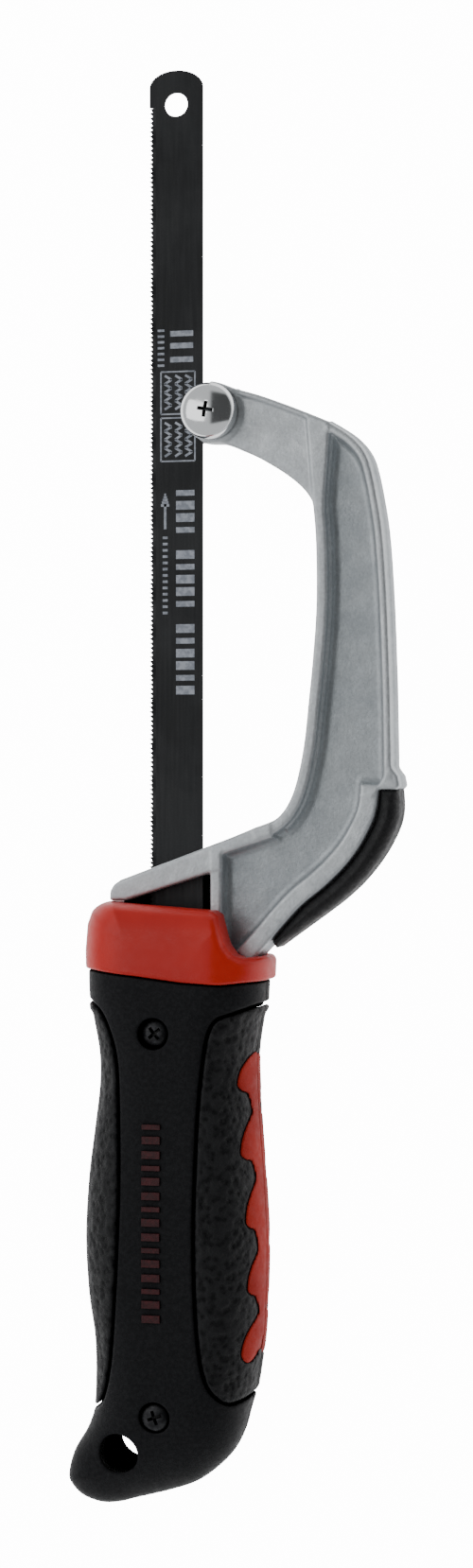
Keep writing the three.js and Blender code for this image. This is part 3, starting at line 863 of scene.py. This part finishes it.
# ---------- print on the blade and bars on the shell ----------
PRINT_LIFT = 0.012
PRINT_THICK = 0.03
BAR_SUNK = 0.5  # how far the shell's bars start inside it
BAR_THICK = 0.6


def on_blade(_):
    return MID + BLADE_HALF + PRINT_LIFT


def on_shell(y):
    return MID + np.interp(y, *zip(*HANDLE_DEEP)) - BAR_SUNK


def stroke(bm, points, width, skin=on_blade, thick=PRINT_THICK):
    """A flat raised line through points on a surface whose height depends on Y."""
    line = np.array(points, float)
    sides = (beside(line, -width / 2), beside(line, width / 2))
    loops = []
    for lift in (0.0, thick):
        for side in sides:
            loops.append([bm.verts.new(Vector((x, y, skin(y) + lift)) * MM) for x, y in side])
    al, ar, bl, br = loops
    for k in range(len(line) - 1):
        bm.faces.new((bl[k], bl[k + 1], br[k + 1], br[k]))
        bm.faces.new((ar[k], ar[k + 1], al[k + 1], al[k]))
        bm.faces.new((al[k], al[k + 1], bl[k + 1], bl[k]))
        bm.faces.new((br[k], br[k + 1], ar[k + 1], ar[k]))
    bm.faces.new((al[0], bl[0], br[0], ar[0]))
    bm.faces.new((ar[-1], br[-1], bl[-1], al[-1]))


def bar_row(bm, left, right, places, width):
    """Bars across the blade, one at each place along it."""
    for y in places:
        stroke(bm, [(left, y), (right, y)], width)


def print_main_line(bm):
    """Bars of two widths in three groups."""
    pitch, left_out = 2.85, (4, 10)
    for k in range(17):
        if k not in left_out:
            bar_row(bm, 0.0, 4.4, [104.5 - pitch * k], 2.0 if k % 3 else 1.3)


def print_frame(bm, low, high):
    """A frame round three columns of zigzag."""
    left, right, line = -3.6, 4.5, 0.35
    for x in (left, right):
        stroke(bm, [(x, low), (x, high)], line)
    bar_row(bm, left, right, (low, high), line)
    for x in (-1.9, 0.6, 3.0):
        zigzag = [(x + (0.8 if k % 2 else -0.8), low + 1.1 + 0.98 * k) for k in range(9)]
        for a, b in zip(zigzag, zigzag[1:]):
            stroke(bm, [a, b], 0.55)


def print_arrow(bm):
    """An arrow to the tip, whose head narrows in steps, and a row of short bars behind it."""
    x, head = -2.6, 101.4
    stroke(bm, [(x, 96.2), (x, 102)], 0.6)
    for k in range(5):
        stroke(bm, [(x, head + 0.6 * k), (x, head + 0.65 + 0.6 * k)], 2.0 - 0.4 * k)
    bar_row(bm, x - 0.6, x + 0.6, [94.2 - 1.45 * k for k in range(13)], 0.6)


def make_print(material):
    """Plain marks in place of lettering."""
    bm = bmesh.new()
    print_main_line(bm)
    bar_row(bm, -1.4, 4.1, (141.4, 138.6, 135.4), 1.3)
    bar_row(bm, -4.4, -2.8, [142.2 - 1.35 * k for k in range(7)], 0.55)
    print_frame(bm, 111.9, 121.9)
    print_frame(bm, 122.8, 132.6)
    print_arrow(bm)
    piece = add_bmesh("blade_print", bm, material)
    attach(piece, "blade")


def make_shell_bars(material):
    """Plain dull red bars down the front shell, in place of lettering."""
    x, y, width, gap = -2.1, -40.0, 4.2, 1.6
    bm = bmesh.new()
    for k in range(15):
        long = 1.7 if k % 3 else 1.1
        stroke(bm, [(x, y), (x, y - long)], width, on_shell, BAR_THICK)
        y -= long + gap
    piece = add_bmesh("shell_bars", bm, material)
    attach(piece, "saw")


# ---------- screws ----------
LATHE_SIDES = 96


def lathe(name, centre, profile, material):
    """A solid turned about an upright line, from (radius, height above the mid-plane) points."""
    bm = bmesh.new()
    rings = []
    for r, h in profile:
        if r == 0:
            rings.append([bm.verts.new(Vector((centre[0], centre[1], MID + h)) * MM)])
            continue
        turns = np.arange(LATHE_SIDES) * 2 * math.pi / LATHE_SIDES
        places = [Vector((r * math.cos(t), r * math.sin(t), MID + h)) for t in turns]
        rings.append([bm.verts.new((place + Vector((centre[0], centre[1], 0))) * MM) for place in places])
    for low, high in zip(rings, rings[1:]):
        for k in range(LATHE_SIDES):
            n = (k + 1) % LATHE_SIDES
            if len(low) == 1:
                bm.faces.new((low[0], high[n], high[k]))
            elif len(high) == 1:
                bm.faces.new((low[k], low[n], high[0]))
            else:
                bm.faces.new((low[k], low[n], high[n], high[k]))
    bmesh.ops.recalc_face_normals(bm, faces=bm.faces)
    return add_bmesh(name, bm, material)


def cross_cutter(centre, top, reach, width, deep, turn):
    """The tapering cross of a driver's tip, above and below the head's top."""
    bm = bmesh.new()
    for arm in (0, 1):
        angle = turn + arm * math.pi / 2
        along = Vector((math.cos(angle), math.sin(angle), 0))
        across = Vector((-along.y, along.x, 0))
        corners = []
        ends = ((top + 1.5, reach * 1.25, width * 1.1), (top - deep, reach * 0.45, width * 0.55))
        for h, long, wide in ends:
            middle = Vector((centre[0], centre[1], MID + h))
            corners.append([bm.verts.new((middle + along * long * a + across * wide / 2 * b) * MM)
                            for a, b in ((-1, -1), (1, -1), (1, 1), (-1, 1))])
        upper, lower = corners
        bm.faces.new(upper)
        bm.faces.new(lower[::-1])
        for k in range(4):
            n = (k + 1) % 4
            bm.faces.new((lower[k], lower[n], upper[n], upper[k]))
    bmesh.ops.recalc_face_normals(bm, faces=bm.faces)
    return add_bmesh("cutter", bm)


def cut(piece, cutter, soft=0.12):
    """Takes the cutter out of the piece and softens the edges that it leaves."""
    modifier = piece.modifiers.new("cut", "BOOLEAN")
    modifier.operation = "DIFFERENCE"
    modifier.solver = "EXACT"
    modifier.use_self = True
    modifier.object = cutter
    bevel = piece.modifiers.new("soft", "BEVEL")
    bevel.width = soft * MM
    bevel.segments = 3
    bevel.limit_method = "ANGLE"
    bevel.angle_limit = math.radians(38)
    apply_modifiers(piece)
    mesh = cutter.data
    bpy.data.objects.remove(cutter)
    bpy.data.meshes.remove(mesh)
    piece.data.shade_smooth()
    piece.data.set_sharp_from_angle(angle=math.radians(40))


def arc(centre_r, centre_h, radius, start, end, steps):
    """Profile points round a corner, by the angle from the radial direction."""
    turns = np.linspace(math.radians(start), math.radians(end), steps)
    return [(centre_r + radius * math.cos(t), centre_h + radius * math.sin(t)) for t in turns]


def thread(low, high, inner, outer, pitch):
    """Profile points of ridges in place of a thread."""
    points = []
    turns = int((high - low) / pitch)
    for k in range(turns):
        at = low + k * pitch
        points += [(inner, at), (outer, at + 0.4 * pitch), (outer, at + 0.6 * pitch)]
    return points


def make_clamp_screw(material):
    seat, head, side, tall = 5.5, 6.4, 3.0, 6.0
    turns = np.linspace(0, math.pi / 2, 18)
    dome = [(head * math.cos(t), seat + side + (tall - side) * math.sin(t)) for t in turns]
    profile = [(0, -6.7), (1.7, -6.7)] + thread(-6.4, 1.0, 2.05, 2.5, 0.8) + [(2.5, 1.2), (2.5, seat)]
    profile += arc(head - 0.35, seat + 0.35, 0.35, -90, 0, 5) + dome[:-1] + [(0, seat + tall)]
    piece = lathe("clamp_screw_domed", BOSS, profile, material)
    cut(piece, cross_cutter(BOSS, seat + tall, 2.1, 0.95, 1.9, -0.17))
    stand_for(piece, "clamp_screw", "clamp_screw")


def make_handle_screw(name, centre, tip, turn, material):
    seat, head, side, tall = BORE_FLOOR + 0.05, 3.3, 0.9, 2.3
    turns = np.linspace(0.05, math.pi / 2, 14)
    dome = [(head * math.cos(t) ** 0.8, seat + side + (tall - side) * math.sin(t)) for t in turns]
    profile = [(0, tip), (0.5, tip + 0.4)] + thread(tip + 1.4, tip + 7.4, 1.15, 1.6, 0.9)
    profile += [(1.45, tip + 7.6), (1.45, seat)] + arc(head - 0.25, seat + 0.25, 0.25, -90, 0, 4)
    profile += dome[:-1] + [(0, seat + tall)]
    piece = lathe(name + "_pan_head", centre, profile, material)
    cut(piece, cross_cutter(centre, seat + tall, 2.1, 0.95, 1.5, turn), 0.08)
    stand_for(piece, name, "saw")


# ---------- light and floor ----------
SOFT_BOX_AT = Vector((-0.6, 0.2, 0.8))
SOFT_BOX_SIZE = (0.7, 1.0)
SOFT_BOX_POWER = 2.6
WORLD_COLOR = (0.97, 0.99, 1.0, 1.0)
WORLD_BRIGHT = 0.6
WORLD_DARK = 0.07
# directions of the dark wall: along each axis, where it starts and where it is full
DARK_WALL = (("X", -0.12, 0.04), ("Y", -0.5, -0.38), ("Y", 0.86, 0.7), ("Z", 0.12, 0.3))
FLOOR_HALF = 40.0
FLOOR_GLOW = 1.1
FLOOR_SEEN = 14.0


def add_soft_box():
    """A large soft light over the finger side."""
    data = bpy.data.lights.new("soft_box", "AREA")
    data.shape = "RECTANGLE"
    data.size, data.size_y = SOFT_BOX_SIZE
    data.energy = SOFT_BOX_POWER
    light = bpy.data.objects.new("soft_box", data)
    light.location = SOFT_BOX_AT
    light.rotation_mode = "QUATERNION"
    light.rotation_quaternion = (AIM - SOFT_BOX_AT).to_track_quat("-Z", "Y")
    bpy.context.scene.collection.objects.link(light)


def add_room():
    """A bright room whose wall past the palm side is dark."""
    world = bpy.data.worlds.new("studio")
    world.use_nodes = True
    tree = world.node_tree
    back = tree.nodes["Background"]
    back.inputs["Color"].default_value = WORLD_COLOR
    coords = tree.nodes.new("ShaderNodeTexCoord")
    parts = tree.nodes.new("ShaderNodeSeparateXYZ")
    tree.links.new(coords.outputs["Generated"], parts.inputs["Vector"])

    def step(axis, start, end):
        """From 0 to 1 as the direction turns along an axis."""
        node = tree.nodes.new("ShaderNodeMapRange")
        node.interpolation_type = "SMOOTHSTEP"
        tree.links.new(parts.outputs[axis], node.inputs["Value"])
        node.inputs["From Min"].default_value = start
        node.inputs["From Max"].default_value = end
        return node.outputs["Result"]

    dark = step(*DARK_WALL[0])
    for side in DARK_WALL[1:]:
        product = tree.nodes.new("ShaderNodeMath")
        product.operation = "MULTIPLY"
        tree.links.new(dark, product.inputs[0])
        tree.links.new(step(*side), product.inputs[1])
        dark = product.outputs["Value"]
    level = tree.nodes.new("ShaderNodeMapRange")
    tree.links.new(dark, level.inputs["Value"])
    level.inputs["To Min"].default_value = WORLD_BRIGHT
    level.inputs["To Max"].default_value = WORLD_DARK
    tree.links.new(level.outputs["Result"], back.inputs["Strength"])
    bpy.context.scene.world = world


def add_floor():
    """A pale floor that glows like a light table, most of all to the eye."""
    s = Shader("pale_floor", (0.85, 0.85, 0.85), 0.9)
    s.paint(s.blend(s.noise(0.5, 3), (0.84, 0.84, 0.84), (0.88, 0.88, 0.88)))
    seen = s.add("ShaderNodeLightPath").outputs["Is Camera Ray"]
    s.bsdf.inputs["Emission Color"].default_value = (1, 1, 1, 1)
    s.link(s.ranged(seen, 0, 1, FLOOR_GLOW, FLOOR_SEEN), s.bsdf.inputs["Emission Strength"])
    low = cad_box[0][2]
    corners = [(x * FLOOR_HALF, y * FLOOR_HALF, low) for x, y in ((-1, -1), (1, -1), (1, 1), (-1, 1))]
    add_mesh("floor", corners, [(0, 1, 2, 3)], s.material)


# ---------- the saw ----------


def build():
    plastic = black_plastic()
    screw = black_screw()
    make_frame(cast_aluminium())
    make_handle(plastic, black_rubber(), red_rubber())
    make_collar(red_plastic())
    make_thumb_rest(grey_rubber())
    make_guide(plastic)
    make_clamp_plate(zinc_steel())
    make_blade(black_blade())
    make_print(print_white())
    make_shell_bars(dull_red())
    make_clamp_screw(chrome())
    make_handle_screw("handle_screw_upper", SCREW_UPPER, 0.9, math.radians(40), screw)
    make_handle_screw("handle_screw_lower", SCREW_LOWER, -8.5, math.radians(20), screw)


build()
add_soft_box()
add_room()
add_floor()
